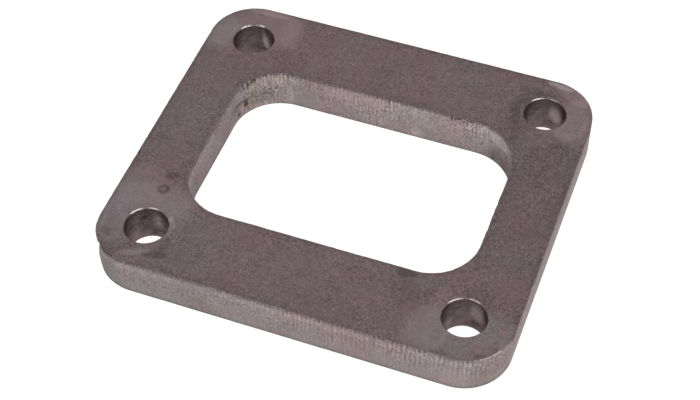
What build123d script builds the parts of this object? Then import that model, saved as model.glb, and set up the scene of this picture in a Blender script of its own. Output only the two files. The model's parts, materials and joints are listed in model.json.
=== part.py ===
from build123d import *
import os

# Turbo inlet flange: one flat steel plate with a gas port and four stud holes.
# All sizes are in millimetres.
# X runs along the plate's longer edge, Y along its shorter edge and Z up through its thickness.
# The origin is the middle of the plate's lower face.

# Stud holes: their pattern also sets the plate's outline
stud_spacing_x = 89.9
stud_spacing_y = 75.8
stud_edge_distance = 13.5
stud_diameter = 11.1
stud_clearance = 0.8
hole_chamfer = 0.35

# Plate
plate_thickness = 12.4
plate_edge_round = 0.25

# Gas port
port_length = 83.6
port_depth = 55.6
port_corner_radius = 14.0
port_edge_round = 0.6

# Sizes that follow from the ones above
plate_length = stud_spacing_x + 2 * stud_edge_distance
plate_depth = stud_spacing_y + 2 * stud_edge_distance
plate_corner_radius = stud_edge_distance
hole_diameter = stud_diameter + stud_clearance


def flat_faces(plate):
    """The lower and the upper face of the plate."""
    by_height = plate.faces().sort_by(Axis.Z)
    return [by_height[0], by_height[-1]]


def cut_blank():
    """The plate as it is cut: its corners share their centres with the stud holes."""
    outline = RectangleRounded(plate_length, plate_depth, plate_corner_radius)
    port = RectangleRounded(port_length, port_depth, port_corner_radius)
    return extrude(outline - port, plate_thickness)


def break_outer_edges(plate):
    """A light round along the outline, on both faces."""
    rim = [edge for face in flat_faces(plate) for edge in face.outer_wire().edges()]
    return fillet(rim, plate_edge_round)


def break_port_edges(plate):
    """A fuller round along the gas port, on both faces, so that the flow meets no burr."""
    mouths = [
        edge
        for face in flat_faces(plate)
        for mouth in face.inner_wires()
        for edge in mouth.edges()
    ]
    return fillet(mouths, port_edge_round)


def drill_stud_holes(plate):
    """Four through holes on the stud pattern, chamfered at both ends."""
    drill = Cylinder(
        hole_diameter / 2,
        plate_thickness,
        align=(Align.CENTER, Align.CENTER, Align.MIN),
    )
    for place in GridLocations(stud_spacing_x, stud_spacing_y, 2, 2):
        plate -= place * drill
    circles = plate.edges().filter_by(GeomType.CIRCLE)
    hole_rims = circles.filter_by(lambda edge: edge.is_closed)
    return chamfer(hole_rims, hole_chamfer)


def flange_plate():
    """The finished flange: cut, edges broken, then drilled."""
    plate = cut_blank()
    plate = break_outer_edges(plate)
    plate = break_port_edges(plate)
    return drill_stud_holes(plate)


os.makedirs("parts", exist_ok=True)
export_step(flange_plate(), "parts/flange_plate.step")
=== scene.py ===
import json
import math

import bpy
import numpy as np
from mathutils import Matrix, Vector
from mathutils.geometry import delaunay_2d_cdt


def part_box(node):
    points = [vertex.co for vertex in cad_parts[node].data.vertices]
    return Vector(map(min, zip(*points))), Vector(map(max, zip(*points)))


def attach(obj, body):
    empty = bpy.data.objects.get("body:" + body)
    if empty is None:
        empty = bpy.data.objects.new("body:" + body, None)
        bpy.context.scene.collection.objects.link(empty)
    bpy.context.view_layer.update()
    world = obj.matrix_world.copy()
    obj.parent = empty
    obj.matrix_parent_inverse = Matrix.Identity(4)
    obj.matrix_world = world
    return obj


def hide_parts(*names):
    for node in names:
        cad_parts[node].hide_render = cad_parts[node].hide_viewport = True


# A turbo inlet flange of hot-rolled steel plate, flame cut and drilled, lying on a pale studio floor.
# Lengths are in metres. X runs along the plate's longer edge, Z up, and the plate lies on Z = 0.

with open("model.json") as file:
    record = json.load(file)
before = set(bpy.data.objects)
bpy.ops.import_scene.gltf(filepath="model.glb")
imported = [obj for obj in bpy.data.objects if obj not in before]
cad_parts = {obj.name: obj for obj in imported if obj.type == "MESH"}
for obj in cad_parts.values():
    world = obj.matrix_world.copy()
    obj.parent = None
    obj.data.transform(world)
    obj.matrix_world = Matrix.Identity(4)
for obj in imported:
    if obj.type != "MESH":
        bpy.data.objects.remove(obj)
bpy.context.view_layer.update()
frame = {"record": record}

MM = 0.001

# Sizes of the plate, read from the frame
low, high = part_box("flange_plate")
plate_length = high[0] - low[0]
plate_depth = high[1] - low[1]
thickness = high[2] - low[2]
mounts = {mount["name"]: mount for mount in frame["record"]["mounts"]}
stud_sizes = mounts["stud_pattern"]["dims"]
stud_x = stud_sizes["spacing_x_mm"] * MM / 2
stud_y = stud_sizes["spacing_y_mm"] * MM / 2
hole_radius = stud_sizes["hole_r_mm"] * MM
corner_radius = plate_length / 2 - stud_x

# Sizes of the gas port, as the solid has them
port_length = 83.6 * MM
port_depth = 55.6 * MM
port_corner_radius = 14.0 * MM

# Sizes of the edges, as sharp as this one plate shows them, which is sharper than the solid's
rim_round = 0.14 * MM
port_round = 0.24 * MM
foot_round = 0.05 * MM
shoulder_reach = 0.5 * MM
shoulder_drop = 0.25 * MM
widest_chamfer = 0.25 * MM
mouth_wear = 0.1 * MM

# How finely the surfaces are divided
wall_step = 0.32 * MM
wall_rows = 21
hole_steps = 112
bore_rows = 9
top_step = 0.55 * MM
bottom_step = 2.5 * MM

# The order of the finishes in the mesh
MILL_SCALE, FLAME_CUT, DRILLED, COUNTERSUNK = range(4)


def rounded_path(length, depth, radius, along, seam):
    """A rounded rectangle, anticlockwise from the middle of its front edge, or of its back one.

    It starts at the back if seam is -1. The normal's angle stands still along the straights and turns evenly
    along the corners. The point is a point of the core rectangle, which the corners' centres span, plus the
    radius along the normal."""
    a, b, quarter = length - 2 * radius, depth - 2 * radius, math.pi / 2 * radius
    steps = [0, a / 2, quarter, b, quarter, a, quarter, b, quarter, a / 2]
    stations = np.cumsum(steps)
    core_x = np.array([0, a, a, a, a, -a, -a, -a, -a, 0]) / 2
    core_y = np.array([-b, -b, -b, b, b, b, b, -b, -b, -b]) / 2
    turns = np.radians([-90, -90, 0, 0, 90, 90, 180, 180, 270, 270])
    turn = np.interp(along, stations, turns)
    normal = np.stack([np.cos(turn), np.sin(turn)], -1)
    core = np.stack([np.interp(along, stations, core_x), np.interp(along, stations, core_y)], -1)
    return seam * (core + radius * normal), seam * normal


def perimeter(length, depth, radius):
    """The way round a rounded rectangle: its straights and four quarter circles."""
    return 2 * (length + depth) - 8 * radius + 2 * math.pi * radius


def edge_distance(x, y, length, depth, radius):
    """How far a point lies inside a rounded rectangle, negative outside it."""
    over_x = np.abs(x) - (length / 2 - radius)
    over_y = np.abs(y) - (depth / 2 - radius)
    outside = np.hypot(np.maximum(over_x, 0), np.maximum(over_y, 0))
    return radius - outside - np.minimum(np.maximum(over_x, over_y), 0)


def ease(value, start, end):
    """0 before start, 1 after end, and a smooth step between them."""
    t = np.clip((value - start) / (end - start), 0, 1)
    return t * t * (3 - 2 * t)


def lattice_noise(u, v, around, seed):
    """Random heights from -1 to 1 on a unit lattice, eased between its points.

    It repeats after `around` cells of u and 64 cells of v."""
    across = 64
    heights = np.random.default_rng(seed).uniform(-1, 1, (around, across))
    i, j = np.floor(u).astype(int), np.floor(v).astype(int)
    a, b = ease(u - i, 0, 1), ease(v - j, 0, 1)
    i, j, next_i, next_j = i % around, j % across, (i + 1) % around, (j + 1) % across
    near = heights[i, j] * (1 - a) + heights[next_i, j] * a
    far = heights[i, next_j] * (1 - a) + heights[next_i, next_j] * a
    return near * (1 - b) + far * b


def cut_relief(along, below, total, seed):
    """How far a flame-cut wall lies back from its nominal line, at a distance along it and below its rim.

    Drag lines hang from the rim: noise stretched down the wall, in two pitches, which fades towards the
    foot and trails sideways there as the flame lagged. A slow waviness and a few deeper gouges are added."""
    down = below / thickness
    trailed = along + 1.6 * MM * down**2.5

    def drag(pitch, reach, part):
        cells = round(total / pitch)
        return lattice_noise(trailed / total * cells, below / reach, cells, seed + part)

    strong = 1 - 0.6 * ease(down, 0.35, 0.9)
    lines = 0.03 * drag(1.05 * MM, 9 * MM, 1) + 0.02 * drag(0.68 * MM, 4 * MM, 2)
    waves = 0.02 * drag(9 * MM, 7 * MM, 3)
    gouges = 0.12 * ease(drag(2.4 * MM, 3 * MM, 4), 0.7, 0.98)
    return np.maximum((0.03 + lines + waves + gouges) * strong, 0.005) * MM


def within(value, start, end, soft):
    """1 between start and end, 0 elsewhere, with a smooth step of a soft width at both."""
    return ease(value, start, start + soft) * (1 - ease(value, end - soft, end))


def start_scar(turn, below):
    """How far the wall stands out where the cut began and ended, at the plate's front left corner.

    A slanted groove runs down from the rim, with a lip over it, and the wall swells from it to the foot."""
    degrees = np.degrees(turn)
    from_groove = below - (2.9 + 0.28 * (218 - degrees)) * MM
    groove = within(degrees, 203, 232, 6) * (1 - ease(np.abs(from_groove), 0.3 * MM, 1.3 * MM))
    swelling = within(degrees, 196, 250, 14) * ease(from_groove, 0.8 * MM, 4.5 * MM)
    swelling *= 1 - 0.5 * ease(below, 10 * MM, thickness)
    lip = within(degrees, 190, 225, 10) * (1 - ease(below, 1 * MM, 2.2 * MM))
    return (0.27 * swelling + 0.15 * lip - 0.22 * groove) * MM


def cut_wall(length, depth, radius, edge, seam, facing, seed):
    """A flame-cut wall: a profile carried along a rounded rectangle, with the looks of each of its points.

    The profile goes from the lower face over a small round, up the wall and over the upper edge's round,
    whose size wanders along the cut. Where the cut began, and less along the front wall, a corner of the
    upper edge is broken off: a steep little step down from the face, and a shoulder that slopes out from it.
    Facing is 1 on the outline and -1 on the port. Rows run upwards."""
    total = perimeter(length, depth, radius)
    columns = round(total / wall_step)
    along = np.arange(columns) / columns * total
    path, normal = rounded_path(length, depth, radius, along, seam)
    turn = np.arctan2(normal[:, 1], normal[:, 0]) % (2 * math.pi)

    def wander(pitch, part):
        cells = round(total / pitch)
        return lattice_noise(along / total * cells, np.zeros(columns), cells, seed + part)

    upper = edge * (1 + 0.28 * wander(1.3 * MM, 11) + 0.3 * wander(6 * MM, 12))
    broken = np.zeros(columns)
    if facing == 1:
        degrees = np.degrees(turn)
        broken = 0.4 * within(degrees, 220, 277, 10) + 0.6 * within(degrees, 224, 256, 8)
        broken *= 0.75 + 0.25 * wander(2.5 * MM, 13)
    drop = shoulder_drop * broken
    inset, below, facing_out = [], [], []
    for angle in np.radians([90, 55, 25, 0]):
        inset.append(np.full(columns, foot_round * (1 - math.cos(angle))))
        below.append(np.full(columns, thickness - foot_round * (1 - math.sin(angle))))
        facing_out.append(math.cos(angle))
    # The rows crowd towards the rim
    for share in np.linspace(1, 0, wall_rows)[1:-1] ** 1.5:
        inset.append(np.zeros(columns))
        below.append(upper + drop + share * (thickness - foot_round - upper - drop))
        facing_out.append(1)
    for tilt, reach, height in [(0, 0, 1), (20, 0.12, 0.85), (42, 0.4, 0.65), (66, 0.85, 0.45), (90, 1, 0)]:
        angle = math.radians(tilt)
        inset.append(upper * (1 - math.cos(angle)) + shoulder_reach * reach * broken)
        below.append(upper * (1 - math.sin(angle)) + drop * height)
        facing_out.append(math.cos(angle))
    inset, below = np.array(inset), np.array(below)
    relief = cut_relief(along, below, total, seed)
    if facing == 1:
        relief = relief - start_scar(turn, below)
    inset = inset + relief * np.array(facing_out)[:, None]
    x = path[:, 0] - facing * normal[:, 0] * inset
    y = path[:, 1] - facing * normal[:, 1] * inset
    spots = np.dstack([x, y, thickness - below])
    return spots, np.append(along, total), wall_looks(along, turn, below, total, facing, seed)


def drilled_wall(centre_x, centre_y, chamfer, wide_at, marks, scores):
    """A drilled hole: a profile of radius and height turned about its axis, countersunk at both ends.

    The drill wore both mouths a little wider. The countersink ran off the hole's axis, so its cone varies
    by 0.4 of its width, with the cosine of the angle from where it is widest. The marks are the lighter and
    darker places of the bore, real marks and painted highlights, and the scores are those where the drill
    scratched it."""
    angle = np.arange(hole_steps) / hole_steps * 2 * math.pi
    cone = chamfer * MM * (1 + 0.4 * np.cos(angle - math.radians(wide_at)))[None, :]
    rise = np.linspace(0, 1, bore_rows)[:, None]
    inner = cone + rise * (thickness - 2 * cone)
    height = np.vstack([np.zeros_like(cone), inner, np.full_like(cone, thickness)])
    worn = mouth_wear * (2 * rise - 1) ** 8 + np.zeros_like(inner)
    radius = hole_radius + np.vstack([cone + mouth_wear, worn, cone + mouth_wear])
    spots = np.dstack([centre_x + radius * np.cos(angle), centre_y + radius * np.sin(angle), height])
    return spots, np.append(angle, 2 * math.pi) * hole_radius, bore_looks_and_shading(angle, height, marks, scores)


def flat_points(step):
    """Points on the flat faces in a grid of equal triangles, clear of the outline, port and holes."""
    margin = 0.75 * MM + step / 4
    xs = np.arange(-plate_length / 2, plate_length / 2, step)
    ys = np.arange(-plate_depth / 2, plate_depth / 2, step * math.sqrt(3) / 2)
    x, y = np.meshgrid(xs, ys)
    x[1::2] += step / 2
    x, y = x.ravel(), y.ravel()
    clear = edge_distance(x, y, plate_length, plate_depth, corner_radius) > margin
    clear &= edge_distance(x, y, port_length, port_depth, port_corner_radius) < -margin
    from_hole = np.hypot(np.abs(x) - stud_x, np.abs(y) - stud_y) - hole_radius
    clear &= from_hole > widest_chamfer + margin / 2
    return np.stack([x[clear], y[clear]], -1)


class Shell:
    """One closed mesh put together from rings of points and from flat faces between them."""

    def __init__(self):
        self.spots, self.looks = [], []
        self.faces, self.uvs, self.finish = [], [], []
        self.creases = []
        self.count = 0

    def add_points(self, spots, looks):
        """Adds points with their looks and returns the number of the first."""
        first = self.count
        self.spots.append(spots.reshape(-1, 3))
        self.looks.append(looks.reshape(-1, 4))
        self.count += len(self.spots[-1])
        return first

    def add_faces(self, corners, places, finish):
        """Adds faces with the UV places of their corners and with their finishes."""
        self.faces.append(corners)
        self.uvs.append(places.reshape(-1, 2))
        self.finish.append(finish)

    def add_wall(self, spots, along, looks, facing, finishes):
        """Joins the rows of a ring grid by four-sided faces and returns its lowest and highest loop.

        Both loops lie in the flat faces, so they take the looks of those."""
        rows, columns = spots.shape[:2]
        looks[[0, -1]] = face_looks(spots[[0, -1], :, 0], spots[[0, -1], :, 1])
        index = self.add_points(spots, looks) + np.arange(rows * columns).reshape(rows, columns)
        beside = np.roll(index, -1, axis=1)
        corners = np.dstack([index[:-1], beside[:-1], beside[1:], index[1:]])
        start, end = np.broadcast_arrays(along[:-1], along[1:], np.empty((rows - 1, 1)))[:2]
        height = spots[..., 2]
        next_height = np.roll(height, -1, axis=1)
        around = np.dstack([start, end, end, start])
        upwards = np.dstack([height[:-1], next_height[:-1], next_height[1:], height[1:]])
        places = np.stack([around, upwards], -1)
        if facing == -1:
            corners, places = corners[..., ::-1], places[..., ::-1, :]
        self.add_faces(corners.reshape(-1, 4), places, np.repeat(finishes, columns))
        return index[0], index[-1]

    def add_flat(self, loops, inner, height, facing, finish):
        """Fills an outline, the first loop, but for the holes, the other loops, over a grid of points."""
        looks = face_looks(inner[:, 0], inner[:, 1])
        first = self.add_points(np.column_stack([inner, np.full(len(inner), height)]), looks)
        index = np.concatenate(loops + [first + np.arange(len(inner))])
        spots = np.concatenate(self.spots)[:, :2]
        borders, start = [], 0
        for loop in loops:
            border = list(range(start, start + len(loop)))
            borders.append(border[::-1] if borders else border)
            start += len(loop)
        flat = [Vector(spot) for spot in (spots[index] / MM).tolist()]
        triangles_but_for_holes, nearest = 2, 1e-6
        result = delaunay_2d_cdt(flat, [], borders, triangles_but_for_holes, nearest)
        triangles, origins = result[2], result[3]
        source = index[np.array([origin[0] for origin in origins])]
        corners = source[np.array(triangles)][:, ::facing]
        self.add_faces(corners, spots[corners], np.full(len(corners), finish))


def make_mesh(name, shell, materials):
    """Puts a shell's arrays into a mesh, with its UV map, its finishes, its creases and five attributes.

    Tone says how light the metal is, with painted light and shade in places, bare how grey it is where the
    brown oxide is gone, cool how far its hue leans from brown to lilac, grain how strong its speckle, drag
    marks or rings are, and rim how far a point of the flat faces lies from the nearest cut edge. Both ends
    of a sharp edge lie on one crease."""
    mesh = bpy.data.meshes.new(name)
    spots = np.concatenate(shell.spots)
    faces = [face for group in shell.faces for face in group.tolist()]
    mesh.from_pydata(spots.tolist(), [], faces)
    places = np.concatenate(shell.uvs).astype(np.float32)
    mesh.uv_layers.new(name="surface").data.foreach_set("uv", places.ravel())
    mesh.polygons.foreach_set("material_index", np.concatenate(shell.finish).astype(np.int32))
    mesh.polygons.foreach_set("use_smooth", np.ones(len(mesh.polygons), bool))
    creased = np.zeros(len(mesh.vertices), int)
    for number, ring in enumerate(shell.creases, 1):
        creased[ring] = number
    ends = np.empty(len(mesh.edges) * 2, np.int32)
    mesh.edges.foreach_get("vertices", ends)
    ends = creased[ends.reshape(-1, 2)]
    sharp = (ends[:, 0] > 0) & (ends[:, 0] == ends[:, 1])
    mesh.attributes.new("sharp_edge", "BOOLEAN", "EDGE").data.foreach_set("value", sharp)
    from_outline = edge_distance(spots[:, 0], spots[:, 1], plate_length, plate_depth, corner_radius)
    from_port = -edge_distance(spots[:, 0], spots[:, 1], port_length, port_depth, port_corner_radius)
    tone, bare, cool, grain = np.concatenate(shell.looks).T
    rim = np.minimum(from_outline, from_port)
    attributes = {"tone": tone, "bare": bare, "cool": cool, "grain": grain, "rim": rim}
    for attribute, values in attributes.items():
        layer = mesh.attributes.new(attribute, "FLOAT", "POINT")
        layer.data.foreach_set("value", values.astype(np.float32))
    for material in materials:
        mesh.materials.append(material)
    mesh.update()
    return mesh


def linear(code):
    """The linear colour of an sRGB hex code."""
    parts = [int(code[i : i + 2], 16) / 255 for i in (1, 3, 5)]
    return [p / 12.92 if p <= 0.04045 else ((p + 0.055) / 1.055) ** 2.4 for p in parts] + [1.0]


def new_material(name):
    """A material with no nodes yet."""
    material = bpy.data.materials.new(name)
    material.use_nodes = True
    material.node_tree.nodes.clear()
    return material


def node(material, kind, inputs=None, out=0, **settings):
    """Adds a node, applies its settings, links or sets its inputs, and returns one of its outputs."""
    made = material.node_tree.nodes.new("ShaderNode" + kind)
    for name, value in settings.items():
        setattr(made, name, value)
    for socket, value in (inputs or {}).items():
        if isinstance(value, bpy.types.NodeSocket):
            material.node_tree.links.new(value, made.inputs[socket])
        else:
            made.inputs[socket].default_value = value
    return made.outputs[out] if made.outputs else None


def pattern(material, place, sizes, detail=1.0):
    """Noise, mostly from -1 to 1, with features of real sizes along each axis of a place."""
    scale = [1 / size for size in sizes]
    cells = node(material, "Mapping", {"Vector": place, "Scale": scale})
    cloud = node(material, "TexNoise", {"Vector": cells, "Scale": 1.0, "Detail": detail, "Roughness": 0.5})
    spread = {"Value": cloud, "From Min": 0.3, "From Max": 0.7, "To Min": -1.0, "To Max": 1.0}
    return node(material, "MapRange", spread, clamp=False)


def add_patterns(material, place, tone, layers):
    """Adds weighted patterns to a tone."""
    for sizes, detail, weight in layers:
        layer = pattern(material, place, sizes, detail)
        tone = node(material, "Math", {0: layer, 1: weight, 2: tone}, operation="MULTIPLY_ADD")
    return tone


def steel(material, tone, dark, light, rough, smooth, metallic, edge, relief, depth):
    """Ends a material in a metal shader: tone, from 0 to 1, runs from dark and rough to light and smooth.

    Edge is the tint at a grazing angle, where rough or browned metal shines less than clean metal does."""
    bare = node(material, "Attribute", out="Fac", attribute_name="bare")
    cool = node(material, "Attribute", out="Fac", attribute_name="cool")
    hues = {"Factor": tone, "A": linear(dark), "B": linear(light)}
    browned = node(material, "Mix", hues, "Result", data_type="RGBA")
    richness = node(material, "MapRange", {"Value": bare, "To Min": 1.0, "To Max": 0.3}, clamp=False)
    lean = node(material, "MapRange", {"Value": cool, "To Min": 0.5, "To Max": 0.47}, clamp=False)
    leant = {"Color": browned, "Hue": lean, "Saturation": richness}
    polish = {"Value": tone, "To Min": rough, "To Max": smooth}
    looks = {
        "Base Color": node(material, "HueSaturation", leant),
        "Roughness": node(material, "MapRange", polish),
        "Metallic": metallic,
        "Specular Tint": linear(edge),
        "Normal": node(material, "Bump", {"Height": relief, "Strength": 1.0, "Distance": depth}),
    }
    shader = node(material, "BsdfPrincipled", looks)
    node(material, "OutputMaterial", {"Surface": shader})


def mill_scale():
    """Mild steel, hot rolled: a thin grey-brown oxide skin, matt and speckled, lighter in places from
    rubbing and from a few painted highlights.

    A ragged dark line runs just inside each cut edge, in a wider and fainter dark border. The skin's own
    grain, under 0.1 mm, is too fine to show, so it is drawn at 0.42 mm."""
    material = new_material("hot_rolled_mill_scale")
    place = node(material, "TexCoord", out="Object")
    tone = node(material, "Attribute", out="Fac", attribute_name="tone")
    strength = node(material, "Attribute", out="Fac", attribute_name="grain")
    rim = node(material, "Attribute", out="Fac", attribute_name="rim")
    border = {"Value": rim, "From Min": 1.4 * MM, "From Max": 2.8 * MM, "To Min": -0.045, "To Max": 0.0}
    tone = node(material, "Math", {0: tone, 1: node(material, "MapRange", border)}, operation="ADD")
    from_line = node(material, "Math", {0: rim, 1: 0.8 * MM}, operation="SUBTRACT")
    from_line = node(material, "Math", {0: from_line}, operation="ABSOLUTE")
    line = {"Value": from_line, "From Min": 0.0, "From Max": 0.5 * MM, "To Min": -0.065, "To Max": 0.0}
    ragged = node(material, "Math", {0: pattern(material, place, [1.0 * MM] * 3), 1: 1.0}, operation="ADD")
    ragged_line = {0: node(material, "MapRange", line), 1: ragged, 2: tone}
    tone = node(material, "Math", ragged_line, operation="MULTIPLY_ADD")
    grain = pattern(material, place, [0.42 * MM] * 3)
    speckle = node(material, "Math", {0: grain, 1: 0.22}, operation="MULTIPLY")
    speckle = add_patterns(material, place, speckle, [([1.1 * MM] * 3, 1.0, 0.08)])
    tone = add_patterns(material, place, tone, [([4.5 * MM] * 3, 2.0, 0.035), ([20 * MM] * 3, 2.0, 0.035)])
    tone = node(material, "Math", {0: speckle, 1: strength, 2: tone}, operation="MULTIPLY_ADD")
    steel(
        material, tone, dark="#56474a", light="#8e797c", rough=0.62, smooth=0.46, metallic=0.6,
        edge="#ffffff", relief=grain, depth=0.008 * MM,
    )
    return material


def cut_steel():
    """Mild steel, flame cut: bare grey metal in fine upright drag marks, browner where it was hottest.

    Some of the marks are bright ridges."""
    material = new_material("flame_cut_steel")
    place = node(material, "UVMap", uv_map="surface")
    tone = node(material, "Attribute", out="Fac", attribute_name="tone")
    strength = node(material, "Attribute", out="Fac", attribute_name="grain")
    drag = pattern(material, place, [0.46 * MM, 1.0 * MM, 1])
    layers = [([0.6 * MM, 4 * MM, 1], 1.0, 0.06), ([1.3 * MM, 12 * MM, 1], 1.0, 0.025)]
    marks = node(material, "Math", {0: drag, 1: 0.13}, operation="MULTIPLY")
    marks = add_patterns(material, place, marks, layers)
    bright = {"Value": pattern(material, place, [0.42 * MM, 2.2 * MM, 1]), "From Min": 0.3, "To Max": 0.12}
    marks = node(material, "Math", {0: marks, 1: node(material, "MapRange", bright)}, operation="ADD")
    tone = add_patterns(material, place, tone, [([7 * MM, 7 * MM, 1], 2.0, 0.035)])
    tone = node(material, "Math", {0: marks, 1: strength, 2: tone}, operation="MULTIPLY_ADD")
    steel(
        material, tone, dark="#4a3f40", light="#c0b2b2", rough=0.65, smooth=0.48, metallic=0.7,
        edge="#b0b0b0", relief=drag, depth=0.02 * MM,
    )
    return material


def drilled_steel():
    """Mild steel, drilled: dark brownish metal with lighter and darker places and faint rings.

    A drill leaves rings about 0.2 mm apart. They are drawn at 0.4 and 0.5 mm, as finer ones don't show."""
    material = new_material("drilled_steel")
    place = node(material, "UVMap", uv_map="surface")
    tone = node(material, "Attribute", out="Fac", attribute_name="tone")
    strength = node(material, "Attribute", out="Fac", attribute_name="grain")
    rings = pattern(material, place, [5 * MM, 0.5 * MM, 1])
    scores = node(material, "Math", {0: rings, 1: 0.05}, operation="MULTIPLY")
    scores = add_patterns(material, place, scores, [([1.2 * MM, 0.4 * MM, 1], 1.0, 0.05)])
    tone = add_patterns(material, place, tone, [([1.8 * MM, 2.6 * MM, 1], 2.0, 0.07)])
    tone = node(material, "Math", {0: scores, 1: strength, 2: tone}, operation="MULTIPLY_ADD")
    steel(
        material, tone, dark="#47393b", light="#b9a4a5", rough=0.5, smooth=0.35, metallic=0.8,
        edge="#909090", relief=rings, depth=0.01 * MM,
    )
    return material


def countersunk_steel():
    """Mild steel, countersunk: the cleanest metal, which catches the soft boxes in glints."""
    material = new_material("countersunk_steel")
    place = node(material, "TexCoord", out="Object")
    marks = pattern(material, place, [1.2 * MM] * 3, 2.0)
    tone = node(material, "Math", {0: marks, 1: 0.35, 2: 0.5}, operation="MULTIPLY_ADD")
    steel(
        material, tone, dark="#766869", light="#ab9c9d", rough=0.3, smooth=0.2, metallic=1.0,
        edge="#ffffff", relief=marks, depth=0.01 * MM,
    )
    return material
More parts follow.
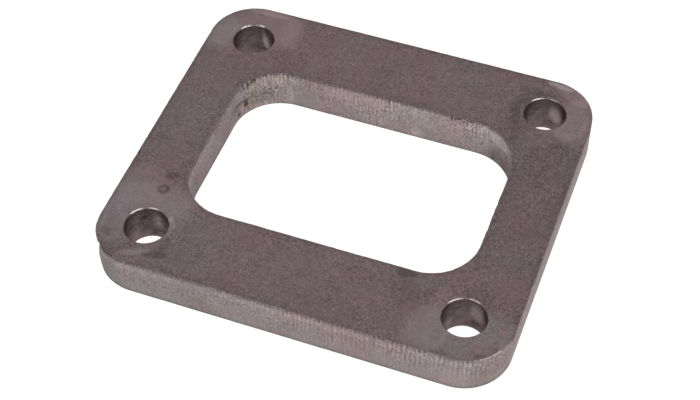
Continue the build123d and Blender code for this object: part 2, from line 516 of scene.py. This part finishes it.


# Where the flat faces were worn by rubbing or stained, and a few painted highlights on the rims, in
# millimetres and degrees: middle, reach each way, turn, how much lighter, how much greyer and how much
# cooler
face_patches = [
    (-43.5, 43.5, 12.5, 9.5, 0, 0.22, 0.0, 0.0),
    (-35.0, 44.0, 4.5, 6.5, 10, 0.1, 0.05, 0.0),
    (-55.0, 39.0, 5.0, 8.0, 0, 0.24, 0.3, 0.2),
    (-47.0, 46.0, 5.0, 2.5, 0, -0.02, 0.0, 0.1),
    (-52.5, 47.5, 3.0, 2.5, 40, -0.08, 0.0, 0.4),
    (-54.2, 43.3, 3.0, 3.5, 0, -0.13, 0.1, 0.0),
    (-46.8, 48.5, 0.9, 0.7, 0, -0.25, 0.0, 0.0),
    (-51.2, 33.6, 3.0, 1.1, 10, 0.13, 0.0, -0.5),
    (-49.5, 31.0, 3.5, 2.5, 0, 0.07, 0.0, 0.0),
    # A painted highlight along the back rim
    (-46.0, 50.2, 10.5, 1.7, 0, 0.34, 0.0, 0.0),
    (53.5, 37.5, 5.5, 9.5, 0, 0.24, 0.15, 0.0),
    (50.5, 48.0, 7.0, 3.0, -35, 0.22, 0.0, 0.0),
    (52.6, 49.4, 5.5, 1.7, -36, 0.42, 0.0, 0.0),
    (50.0, 31.5, 5.0, 2.2, 0, 0.1, 0.0, 0.0),
    (46.5, 49.8, 4.4, 1.2, -8, 0.55, 0.4, -0.2),
    (44.0, 50.4, 2.2, 0.8, 0, 0.4, 0.2, 0.0),
    (43.8, 45.2, 4.5, 1.3, 0, -0.2, 0.1, -0.3),
    (38.8, 36.0, 4.5, 12.5, 0, -0.15, 0.0, 0.0),
    (38.2, 37.5, 2.8, 7.0, 0, -0.12, 0.0, 0.0),
    # A painted highlight down the left rim of the back right hole
    (38.5, 36.6, 0.55, 4.2, 12, 0.28, 0.0, 0.0),
    (56.0, 31.5, 3.5, 2.4, 0, 0.05, 0.0, 0.0),
    (51.5, -24.0, 5.0, 3.0, 10, 0.07, 0.0, 0.0),
    (46.0, -4.0, 2.6, 9.0, 0, 0.05, 0.0, 0.0),
    (-47.5, -31.0, 12.0, 9.5, 0, 0.16, 0.25, 0.1),
    (-42.0, -27.0, 6.0, 6.5, 0, 0.1, 0.0, 0.0),
    (-51.5, -25.5, 8.0, 8.5, 0, 0.13, 0.0, 0.1),
    (-55.5, -32.0, 3.5, 13.0, 0, 0.03, 0.05, 0.4),
    (-48.0, -31.0, 2.2, 1.0, 20, 0.03, -0.2, -0.7),
    (-38.1, -37.4, 0.9, 3.4, 0, 0.16, 0.1, 0.0),
    # A painted glint on the rim of the front left hole
    (-39.6, -34.0, 0.9, 1.1, 0, 0.45, 0.0, 0.0),
    (-38.9, -34.8, 1.1, 2.6, 30, 0.13, 0.1, 0.0),
    (-36.6, -27.0, 2.2, 2.4, 0, 0.15, 0.0, 0.0),
    (-53.5, -40.5, 4.5, 10.0, 20, 0.14, 0.3, 0.2),
    (-57.5, -40.0, 1.6, 8.0, 0, 0.15, 0.2, 0.2),
    (-45.8, -24.7, 2.1, 2.1, 0, -0.5, 0.0, 0.0),
    (-45.9, -24.4, 0.9, 1.1, 0, 0.36, 0.0, 0.0),
    (-45.5, -19.5, 2.2, 1.4, 30, -0.28, 0.0, 0.0),
    (-44.3, -47.35, 5.2, 1.05, 22, 0.3, 0.1, 0.0),
    (-44.6, -44.9, 2.6, 0.8, 8, -0.12, 0.0, 0.0),
    (-49.5, -46.0, 3.0, 1.6, -25, -0.1, 0.0, 0.0),
    (-38.9, -46.4, 3.6, 1.4, 12, -0.3, 0.0, 0.0),
    (-37.5, -42.0, 1.6, 2.6, -20, -0.14, 0.0, 0.0),
    (-54.5, -43.0, 2.0, 1.2, -30, -0.18, 0.0, 0.0),
    (-51.0, -47.5, 2.4, 1.2, -30, -0.16, 0.0, 0.0),
    (-46.0, -50.3, 4.0, 0.8, 5, 0.15, 0.0, 0.0),
    (-35.0, -42.0, 12.0, 10.0, 0, 0.0, 0.25, -0.1),
    (-35.5, -44.5, 4.0, 2.6, 0, -0.05, 0.0, 0.0),
    (-55.5, -4.0, 4.0, 10.0, 0, -0.05, 0.15, -0.1),
    (-50.0, 14.0, 9.0, 15.0, 0, 0.02, 0.1, 0.0),
    (-12.0, -39.0, 17.0, 10.0, 0, 0.04, 0.03, -0.3),
    (8.0, 43.0, 16.0, 8.0, 0, 0.03, 0.0, 0.0),
    (-20.0, 40.0, 10.0, 6.0, 0, 0.04, 0.0, 0.0),
    (-27.0, 37.0, 15.0, 13.0, 0, 0.0, -0.1, -0.25),
    (18.0, 44.0, 9.0, 8.0, 0, -0.02, 0.15, 0.2),
    (21.5, 49.0, 4.0, 2.6, 0, -0.06, 0.0, 0.0),
    (51.0, 0.0, 10.5, 34.0, 0, -0.07, 0.0, 0.0),
    (44.5, 4.0, 4.0, 25.0, 0, -0.05, 0.1, 0.0),
    (43.4, -16.0, 2.4, 4.5, 0, -0.05, 0.0, 0.0),
    (51.0, 20.0, 8.5, 11.0, 0, -0.05, 0.0, 0.0),
    (41.5, 24.5, 3.5, 4.0, 0, -0.05, 0.0, 0.0),
    # A painted highlight along the right rim
    (57.4, 36.0, 1.6, 9.5, 0, 0.13, 0.0, 0.0),
    (14.0, -46.5, 18.0, 4.0, 0, -0.04, 0.0, 0.0),
    (15.0, -34.0, 5.0, 3.0, 0, -0.05, -0.15, 0.0),
    (36.8, -44.5, 6.4, 8.5, 0, 0.2, 0.3, 0.0),
    (37.5, -34.0, 2.0, 4.0, 0, 0.12, 0.0, 0.0),
    (53.5, -42.0, 5.0, 7.5, 15, 0.1, 0.0, 0.0),
    # A painted highlight along the right rim, where the skin is also greyer
    (57.3, -41.0, 1.7, 6.0, 0, 0.14, 0.4, 0.0),
    (54.0, -33.0, 5.5, 3.5, 0, -0.07, 0.0, 0.0),
    (46.5, -30.0, 4.0, 2.4, 0, -0.11, 0.0, 0.0),
    (45.0, -46.5, 9.0, 4.0, 0, 0.08, 0.1, 0.0),
    (46.0, -47.5, 3.5, 3.0, 0, 0.0, 0.5, -0.9),
    (52.0, -38.5, 4.0, 5.5, 0, 0.0, 0.6, -0.7),
    (27.5, -35.0, 4.0, 5.5, 20, -0.12, 0.0, 0.0),
    (26.5, -29.2, 3.0, 1.7, 0, -0.35, 0.0, 0.0),
    (33.0, -30.5, 4.5, 2.4, 20, -0.05, 0.4, -0.7),
    (43.2, -21.5, 0.9, 0.9, 0, -0.25, 0.2, -1.0),
    (51.9, -48.1, 1.3, 0.7, 35, -0.12, 0.0, 0.0),
    (47.5, -50.5, 6.0, 0.9, 12, 0.13, 0.0, 0.0),
    (33.0, -35.5, 2.6, 3.2, 0, -0.09, 0.1, 0.0),
    (39.7, -46.0, 1.6, 3.0, -15, -0.12, 0.0, 0.0),
    (-55.0, 26.5, 3.5, 3.0, 0, -0.06, 0.0, -0.1),
    (-20.0, 31.0, 5.0, 2.5, 0, 0.0, -0.1, -0.4),
    (0.0, 38.0, 5.0, 8.0, 0, 0.0, 0.0, -0.3),
    (-3.0, 36.0, 5.5, 9.0, 0, -0.05, 0.0, 0.0),
    (6.0, 29.4, 12.0, 1.6, 0, -0.06, 0.0, 0.0),
    (30.0, 49.5, 4.0, 2.5, 0, 0.0, -0.15, -0.5),
    (-42.0, 25.0, 5.0, 8.0, 0, 0.0, -0.1, -0.3),
    (-39.0, 31.0, 3.5, 3.0, 0, 0.06, 0.0, 0.0),
]

# Marks on the port's wall, in millimetres: distance along it, height, reach each way, how much lighter
port_marks = [
    (167.6, 11.6, 1.0, 1.3, -0.6),
    (169.4, 10.9, 0.9, 1.3, -0.6),
    (171.2, 10.4, 0.6, 1.0, -0.4),
    (170.7, 4.2, 1.0, 1.6, -0.62),
    (173.9, 2.0, 0.9, 1.1, -0.55),
    (172.0, 5.8, 3.6, 0.6, -0.4),
    (164.0, 5.2, 5.5, 0.55, -0.25),
    (172.4, 3.2, 0.8, 1.2, 0.25),
    (176.5, 8.0, 1.6, 3.6, -0.06),
    (165.0, 3.0, 4.5, 1.2, -0.13),
    (158.6, 10.0, 1.5, 4.0, 0.16),
    (156.5, 4.5, 1.4, 5.5, 0.16),
    (150.0, 9.5, 4.0, 1.6, -0.06),
    (162.0, 9.5, 5.0, 2.5, 0.08),
    (91.5, 9.7, 5.5, 2.8, 0.2),
    (89.0, 3.5, 7.0, 4.5, -0.25),
    (80.0, 7.0, 5.0, 7.5, -0.3),
    (105.8, 12.0, 1.8, 1.2, -0.35),
    (103.5, 10.8, 2.4, 1.3, -0.17),
    (97.6, 10.5, 1.4, 3.6, 0.15),
    (94.2, 2.0, 2.6, 1.9, -0.2),
    (89.5, 5.3, 1.6, 1.8, 0.12),
    (119.5, 7.5, 1.2, 2.0, -0.08),
    (117.0, 2.0, 2.2, 2.6, 0.16),
    (129.2, 9.5, 1.9, 3.5, 0.13),
    (134.4, 10.3, 1.0, 1.7, 0.07),
    (127.6, 3.0, 1.3, 2.0, 0.18),
    (117.5, 1.0, 3.0, 1.4, 0.1),
    (106.5, 4.5, 2.5, 5.0, 0.06),
    (96.3, 11.8, 1.2, 1.4, 0.2),
    (101.7, 10.6, 0.9, 1.3, -0.12),
    (92.5, 1.3, 1.2, 1.4, -0.15),
    (88.8, 10.8, 1.2, 2.2, -0.1),
    (141.0, 6.7, 2.4, 1.6, 0.08),
    (175.5, 5.2, 2.4, 1.2, -0.15),
    (167.8, 10.0, 1.0, 1.5, -0.12),
    (195.0, 5.0, 3.5, 4.5, 0.05),
    (203.5, 8.0, 3.5, 5.5, -0.07),
    (188.0, 8.0, 2.0, 3.5, -0.05),
    (147.0, 6.0, 1.4, 1.2, -0.2),
]

# Marks and painted highlights in the bores, in degrees and millimetres: angle, height, reach each way, how
# much lighter
# In each list, the lighter marks at angles from 52 to 84 degrees are painted highlights
front_left_marks_and_highlights = [
    (82, 7.8, 20, 3.2, 0.28),
    (118, 7.5, 20, 5.5, -0.13),
    (68, 4.0, 9, 2.0, -0.08),
    (98, 2.2, 18, 1.8, -0.17),
    (52, 8.5, 13, 3.5, 0.16),
    (156, 2.5, 14, 2.0, 0.12),
]
front_right_marks_and_highlights = [
    (68, 8.0, 26, 3.8, 0.34),
    (70, 2.6, 22, 2.2, -0.14),
    (92, 1.6, 18, 1.3, -0.14),
    (150, 3.6, 15, 2.3, 0.2),
]
back_left_marks_and_highlights = [
    (76, 6.6, 12, 3.0, 0.5),
    (84, 9.4, 7, 2.4, 0.2),
    (112, 7.5, 26, 4.0, -0.05),
    (98, 3.2, 28, 2.3, -0.17),
    (58, 9.6, 16, 2.6, 0.15),
]
back_right_marks_and_highlights = [
    (68, 7.1, 25, 3.6, 0.44),
    (105, 6.6, 24, 0.5, -0.14),
    (138, 4.8, 24, 2.6, 0.06),
    (88, 2.2, 22, 1.6, -0.14),
]

# Where a bore is scored, in the same way: angle, height, reach each way, how much more strongly
front_left_scores = [(76, 7.0, 30, 4.5, 2.2)]

# The stud holes: side of the plate in X and in Y, how wide the countersink is in millimetres and where it is
# widest in degrees, and the marks, painted highlights and scores of the bore
stud_holes = [
    (-1, -1, 0.2, 140, front_left_marks_and_highlights, front_left_scores),
    (1, -1, 0.18, 112, front_right_marks_and_highlights, []),
    (-1, 1, 0.25, 130, back_left_marks_and_highlights, []),
    (1, 1, 0.14, 112, back_right_marks_and_highlights, []),
]


# The looks of the surfaces. These functions work in millimetres, and those given metres divide by MM first


def from_oval(u, v, middle_u, middle_v, reach_u, reach_v):
    """How far a point lies from the middle of an oval: 0 there and 1 on the oval itself."""
    return np.hypot((u - middle_u) / reach_u, (v - middle_v) / reach_v)


def face_looks(x, y):
    """Looks of the flat faces: even, but for soft-edged oval patches, worn by rubbing, stained or painted as
    highlights, and less speckled where they are lighter.
    """
    x, y = x / MM, y / MM

    def cloud(cell, seed):
        # Shifted by 40 of its 97 cells, so that it repeats off the plate
        return lattice_noise(x / cell + 40, y / cell + 40, 97, seed)

    wobble, gathered, hue = cloud(3.5, 51), cloud(5, 52), cloud(8, 53)
    tone, bare, cool = np.full(x.shape, 0.349), 0.05 + 0.12 * hue, 0.3 * gathered
    rubbed_and_highlit = np.zeros(x.shape)
    for middle_x, middle_y, reach_x, reach_y, turn, lighter, greyer, cooler in face_patches:
        c, s = math.cos(math.radians(turn)), math.sin(math.radians(turn))
        over_x, over_y = x - middle_x, y - middle_y
        away = from_oval(over_x * c + over_y * s, over_y * c - over_x * s, 0, 0, reach_x, reach_y)
        share = 1 - ease(away + 0.14 * wobble, 0.65, 1.12)
        tone += lighter * share
        bare += greyer * share
        cool += cooler * share
        # Both the lighter worn patches and the painted highlights are less speckled
        rubbed_and_highlit += max(lighter, 0) * share
    grain = (1 - 2.1 * np.minimum(rubbed_and_highlit, 0.22)) * (1 + 0.35 * gathered)
    return np.stack([tone, bare, cool, grain], -1)


def broken_edge_shading(degrees, below, crumbs):
    """Under the outline's rim at its front left corner: a painted shadow line in the gap under the broken
    edge, which runs on along the front wall, and painted shade on the shoulder, over a light band."""
    # Painted shadow right under the rim, and painted shade on the shoulder below it
    shadow_line = within(degrees, 220, 277, 12) * (1 + crumbs)
    shoulder = within(degrees, 222, 272, 12)
    tone = -0.05 * shadow_line * (1 - ease(below, 0.05, 0.3))
    tone -= 0.14 * shoulder * (1 - ease(below, 0.8, 1.9))
    return tone + 0.05 * shoulder * within(below, 1.8, 4.8, 0.8)


def lit_rim_tone(degrees, below, teeth):
    """Where the outline's rim catches the light: along the front wall, over a line of shade, and in a glint
    over a softer shade at the front right corner."""
    overhang = within(degrees, 262, 303, 4) * (1 + 0.4 * teeth)
    tone = 0.08 * overhang * (1 - ease(below, 0.1, 0.6))
    tone -= 0.12 * overhang * (1 - ease(below, 0.75, 1.1))
    glint = within(degrees, 302, 333, 5) * (0.6 + 0.4 * ease(degrees, 308, 326)) * (0.8 + 0.3 * teeth)
    tone += 0.95 * glint * (1 - ease(below, 0.25, 0.7))
    return tone - 0.13 * glint * within(below, 0.7, 1.7, 0.4)


def front_wall_tone(along, below, warm):
    """Along the outline's front wall: a little lighter where it is warm, most of all under its rim, dim at
    its foot near the left end, and low down pale and then dim at the front right corner."""
    tone = warm * (0.035 + 0.03 * (1 - ease(below, 0.3, 1.2)))
    tone += 0.08 * within(along, 250, 260, 3) * ease(below, 3, 6)
    tone -= 0.04 * within(along, 260, 273, 3) * ease(below, 2, 5)
    return tone - 0.05 * within(along, 178, 192, 5) * ease(below, 5, 9)


def port_wall_shading(along, degrees, below, left, corner):
    """Along the port's wall, mostly painted light and shade: paler than the outline as painted light, but
    for its left wall and back left corner, which are painted in shade, and dim with painted shade at its
    back right corner.
    It is also darker, but for the left wall, right under its rim. The upper half of the back wall is pale,
    and painted light from the floor lightens the foot of the back left corner."""
    # Painted light and shade: the port painted paler, its left wall and back left corner darker, its back
    # right corner dim
    tone = 0.04 * left * (1 - 2.2 * ease(below, 4, 10))
    tone += 0.05 - 0.05 * left - 0.05 * corner - 0.12 * within(degrees, -1, 62, 30)
    tone += 0.04 * within(along, 98, 144, 8) * (1 - 1.5 * ease(below, 5, 10))
    tone -= 0.05 * within(along, 178, 192, 5) * within(below, 0.5, 5, 1)
    # Painted light from the floor at the foot of the back left corner
    tone += 0.22 * within(along, 158, 184, 6) * ease(below, 10.8, 12)
    return tone - 0.1 * (1 - left) * (1 - ease(below, 0.3, 0.6))


def wall_looks(along, turn, below, total, facing, seed):
    """Looks of a flame-cut wall, from the direction that it faces, the distance along it and the depth below
    its rim.

    It is browned in a ragged band under the rim, which is broader on the walls that face sideways, then
    flecked with light, and has a dark foot. Its marks gather in places and fade towards the foot. The
    outline is greyer at its front left corner, warm along its front wall and brown at its right. The port's
    left wall is lilac, and its back left corner, where the cut ran hottest, is the brownest."""
    along, below, total = along / MM, below / MM, total / MM
    foot = thickness / MM

    def ragged(pitch, part, reach=6):
        cells = round(total / pitch)
        return lattice_noise(along / total * cells, below / reach, cells, seed + part)

    teeth = ragged(1.1, 31)
    gathered = ragged(7, 33, 9)
    degrees = np.degrees(turn)
    # The band's extra width and darkness on the sides, how far down the flecks reach, and how squarely a
    # wall has to face right to count as a side
    if facing == 1:
        wider, darker, flecked, squarely = 3.2 + 0.9 * within(along, 300, 370, 20), 0.26, 3.2, 0.955
    else:
        wider, darker, flecked, squarely = 1.9, 0.1, 4.5, 0.85
    sideways = ease(np.cos(turn), squarely, 1) + ease(-np.cos(turn), 0.85, 1)
    band = (0.6 + wider * sideways) * (1 + 0.35 * teeth)
    tone = 0.445 - (0.11 + darker * sideways) * (1 - ease(below, 0.15 * band, band))
    tone -= 0.15 * ease(below, foot - 1.6, foot - 0.3)
    tone += 0.07 * (1 + teeth) * within(below, 0.5, flecked, 0.6)
    fade = (1 + 0.45 * gathered) * (1 - 0.4 * ease(below, 5, 10))
    hue = 0.4 * ragged(5, 34, 12)
    cool = 0.45 * ragged(6, 35, 12)
    even = ease(np.cos(2 * math.pi * along / 1.25 + 1.6 * ragged(3, 32)), 0, 0.9) - 0.3
    lines = even * (1 + 0.6 * teeth) * (1 - 0.8 * ease(below, 3, 10))
    if facing == 1:
        corner = within(degrees, 190, 267, 15)
        right = ease(degrees, 290, 340) + 1 - ease(degrees, 20, 50)
        warm = within(along, 184, 264, 8)
        coarse = 0.45 * within(along, 200, 268, 12) + 0.4 * within(along, 246, 265, 7)
        tone += broken_edge_shading(degrees, below, ragged(1.6, 36)) + lit_rim_tone(degrees, below, teeth)
        tone += front_wall_tone(along, below, warm) - 0.08 * corner
        tone += right * (0.08 * ease(below, 2.5, 5) + 0.04 * ease(below, 6, 11))
        tone += 0.34 * coarse * (1 + 0.5 * gathered) * lines
        bare = hue + 0.4 * corner - 0.18 * warm + 0.2 * ease(below, 9, 11)
        bare -= right * (0.6 - 0.3 * ease(along, 280, 330) - 0.2 * ease(below, 4, 10))
        bare += right * (0.35 * ease(below, 4, 8) - 0.1) * (1 - ease(along, 272, 290))
        cool += 0.5 * corner
        grain = fade * (1 + 0.7 * right)
    else:
        left = within(degrees, 154, 235, 16)
        corner = within(degrees, 88, 170, 12)
        browned = within(along, 107, 128, 6) + within(along, 147, 164, 6)
        hot = within(along, 152, 177, 5)
        hot_low = hot * ease(below, 3, 6)
        coarse = 0.3 * corner + 0.8 * within(along, 92, 112, 8)
        tone += port_wall_shading(along, degrees, below, left, corner)
        tone += 0.12 * (1 + gathered) * lines * (1 - left)
        for mark_along, mark_height, reach_along, reach_up, lighter in port_marks:
            away = from_oval(along, foot - below, mark_along, mark_height, reach_along, reach_up)
            tone += 0.75 * lighter * (1 - ease(away + 0.15 * teeth, 0.5, 1.1))
        bare = hue - left * (0.37 - 0.3 * ease(below, 8.5, 11)) - 0.15 * corner
        bare -= 0.35 * within(along, 100, 160, 8) + 0.125 * (hot + hot_low)
        cool += left * (0.55 + 0.1 * ease(below, 4, 8)) - 0.15 * corner - 0.7 * browned
        cool -= 0.6 * hot_low + 1.1 * within(along, 161, 173, 4)
        grain = (1.5 + coarse) * fade * (1 - left) + left * (0.7 + 1.1 * within(below, 0.3, 4, 1))
    return np.stack([tone, bare, cool, grain], -1)


def bore_looks_and_shading(angle, height, marks, scores):
    """Looks of a drilled hole, partly painted light and shade: painted shade darkens it towards its mouth at
    both sides, painted light from the floor lightens its foot, its oval marks are real marks and painted
    highlights, and it has stronger rings from the drill where it is scored."""
    degrees = np.degrees(angle) + np.zeros(height.shape)
    height = height / MM
    # Painted shade towards the mouth, but not on the far side, and painted light from the floor at the foot
    tone = 0.24 - 0.04 * ease(height, 5, 11) * (1 - within(degrees, 60, 162, 25))
    tone += 0.05 * (1 - ease(height, 0.5, 4))
    # Real marks, and painted highlights
    for middle_angle, middle_height, reach_round, reach_up, lighter in marks:
        away = from_oval(degrees, height, middle_angle, middle_height, reach_round, reach_up)
        tone += lighter * (1 - ease(away, 0.3, 1.3))
    grain = np.ones(height.shape)
    for middle_angle, middle_height, reach_round, reach_up, stronger in scores:
        away = from_oval(degrees, height, middle_angle, middle_height, reach_round, reach_up)
        grain += stronger * (1 - ease(away, 0.4, 1.3))
    plain = np.zeros(height.shape)
    return np.stack([tone, plain, plain, grain], -1)


def flange():
    """The whole plate as one closed surface: two flat faces, two flame-cut walls and four drilled holes."""
    shell = Shell()
    bottoms, tops = [], []
    for length, depth, radius, edge, seam, facing, seed in [
        (plate_length, plate_depth, corner_radius, rim_round, -1, 1, 100),
        (port_length, port_depth, port_corner_radius, port_round, 1, -1, 200),
    ]:
        spots, along, looks = cut_wall(length, depth, radius, edge, seam, facing, seed)
        finishes = np.full(len(spots) - 1, FLAME_CUT)
        bottom, top = shell.add_wall(spots, along, looks, facing, finishes)
        bottoms.append(bottom)
        tops.append(top)
    for side_x, side_y, chamfer, wide_at, marks, scores in stud_holes:
        centre_x, centre_y = side_x * stud_x, side_y * stud_y
        spots, along, looks = drilled_wall(centre_x, centre_y, chamfer, wide_at, marks, scores)
        finishes = np.full(len(spots) - 1, DRILLED)
        finishes[[0, -1]] = COUNTERSUNK
        bottom, top = shell.add_wall(spots, along, looks, -1, finishes)
        bottoms.append(bottom)
        tops.append(top)
        shell.creases += [bottom, bottom + hole_steps, top - hole_steps, top]
    shell.add_flat(bottoms, flat_points(bottom_step), 0, -1, MILL_SCALE)
    shell.add_flat(tops, flat_points(top_step), thickness, 1, MILL_SCALE)
    materials = [mill_scale(), cut_steel(), drilled_steel(), countersunk_steel()]
    mesh = make_mesh("flange_plate_surface", shell, materials)
    piece = bpy.data.objects.new("flange_plate_surface", mesh)
    bpy.context.collection.objects.link(piece)
    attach(piece, "root")
    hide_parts("flange_plate")


def studio_floor():
    """A plain pale floor, wide enough to fill every view.

    It glows, so that it is as white in the holes and in the plate's shade as around it."""
    half = 2.0
    corners = [(-half, -half, 0), (half, -half, 0), (half, half, 0), (-half, half, 0)]
    mesh = bpy.data.meshes.new("studio_floor")
    mesh.from_pydata(corners, [], [(0, 1, 2, 3)])
    material = new_material("pale_floor")
    looks = {"Base Color": linear("#5f5e5e"), "Roughness": 0.9}
    glow = {"Emission Color": linear("#ffffff"), "Emission Strength": 1.0}
    node(material, "OutputMaterial", {"Surface": node(material, "BsdfPrincipled", looks | glow)})
    mesh.materials.append(material)
    floor = bpy.data.objects.new("studio_floor", mesh)
    bpy.context.collection.objects.link(floor)


def direction(azimuth, elevation):
    """The unit vector from the object towards a place.

    Azimuth is 0 in front of the object and 90 at its right, and elevation is 90 overhead."""
    a, e = math.radians(azimuth), math.radians(elevation)
    return Vector((math.sin(a) * math.cos(e), -math.cos(a) * math.cos(e), math.sin(e)))


def soft_light(name, azimuth, elevation, distance, width, height, power):
    """A rectangular soft box that faces the object."""
    light = bpy.data.lights.new(name, "AREA")
    light.shape = "RECTANGLE"
    light.size, light.size_y = width, height
    light.energy = power
    box = bpy.data.objects.new(name, light)
    towards = direction(azimuth, elevation)
    box.location = towards * distance
    box.rotation_euler = (-towards).to_track_quat("-Z", "Y").to_euler()
    bpy.context.collection.objects.link(box)


def studio_light():
    """Soft white surroundings, a soft box on either side of the camera and a wide one high at the back."""
    world = bpy.data.worlds.new("soft_studio")
    world.use_nodes = True
    background = world.node_tree.nodes["Background"].inputs
    background["Color"].default_value = (1, 1, 1, 1)
    background["Strength"].default_value = 0.5
    bpy.context.scene.world = world
    soft_light("right_box", 62, 36, distance=0.9, width=0.7, height=0.35, power=2.6)
    soft_light("left_box", -22, 36, distance=0.9, width=0.5, height=0.3, power=1.0)
    soft_light("overhead_box", 200, 62, distance=1.1, width=0.9, height=0.9, power=3.0)


def studio_camera():
    """The photograph's camera: a long lens that looks down from the front and a little from the right."""
    azimuth, elevation, roll = 20.93, 50.10, -0.88
    distance = 431.7 * MM
    aim = Vector((3.68, -10.96, 12.4)) * MM
    data = bpy.data.cameras.new("camera")
    data.sensor_width = 36
    data.lens = 81.42
    data.clip_start = 0.01
    back = direction(azimuth, elevation)
    level = direction(azimuth + 90, 0)
    right = (Matrix.Rotation(math.radians(roll), 3, back) @ level).normalized()
    up = back.cross(right)
    camera = bpy.data.objects.new("camera", data)
    turned = Matrix((right, up, back)).transposed().to_4x4()
    camera.matrix_world = Matrix.Translation(aim + back * distance) @ turned
    bpy.context.collection.objects.link(camera)
    bpy.context.scene.camera = camera


flange()
studio_floor()
studio_light()
studio_camera()
bpy.context.scene.view_settings.view_transform = "Standard"
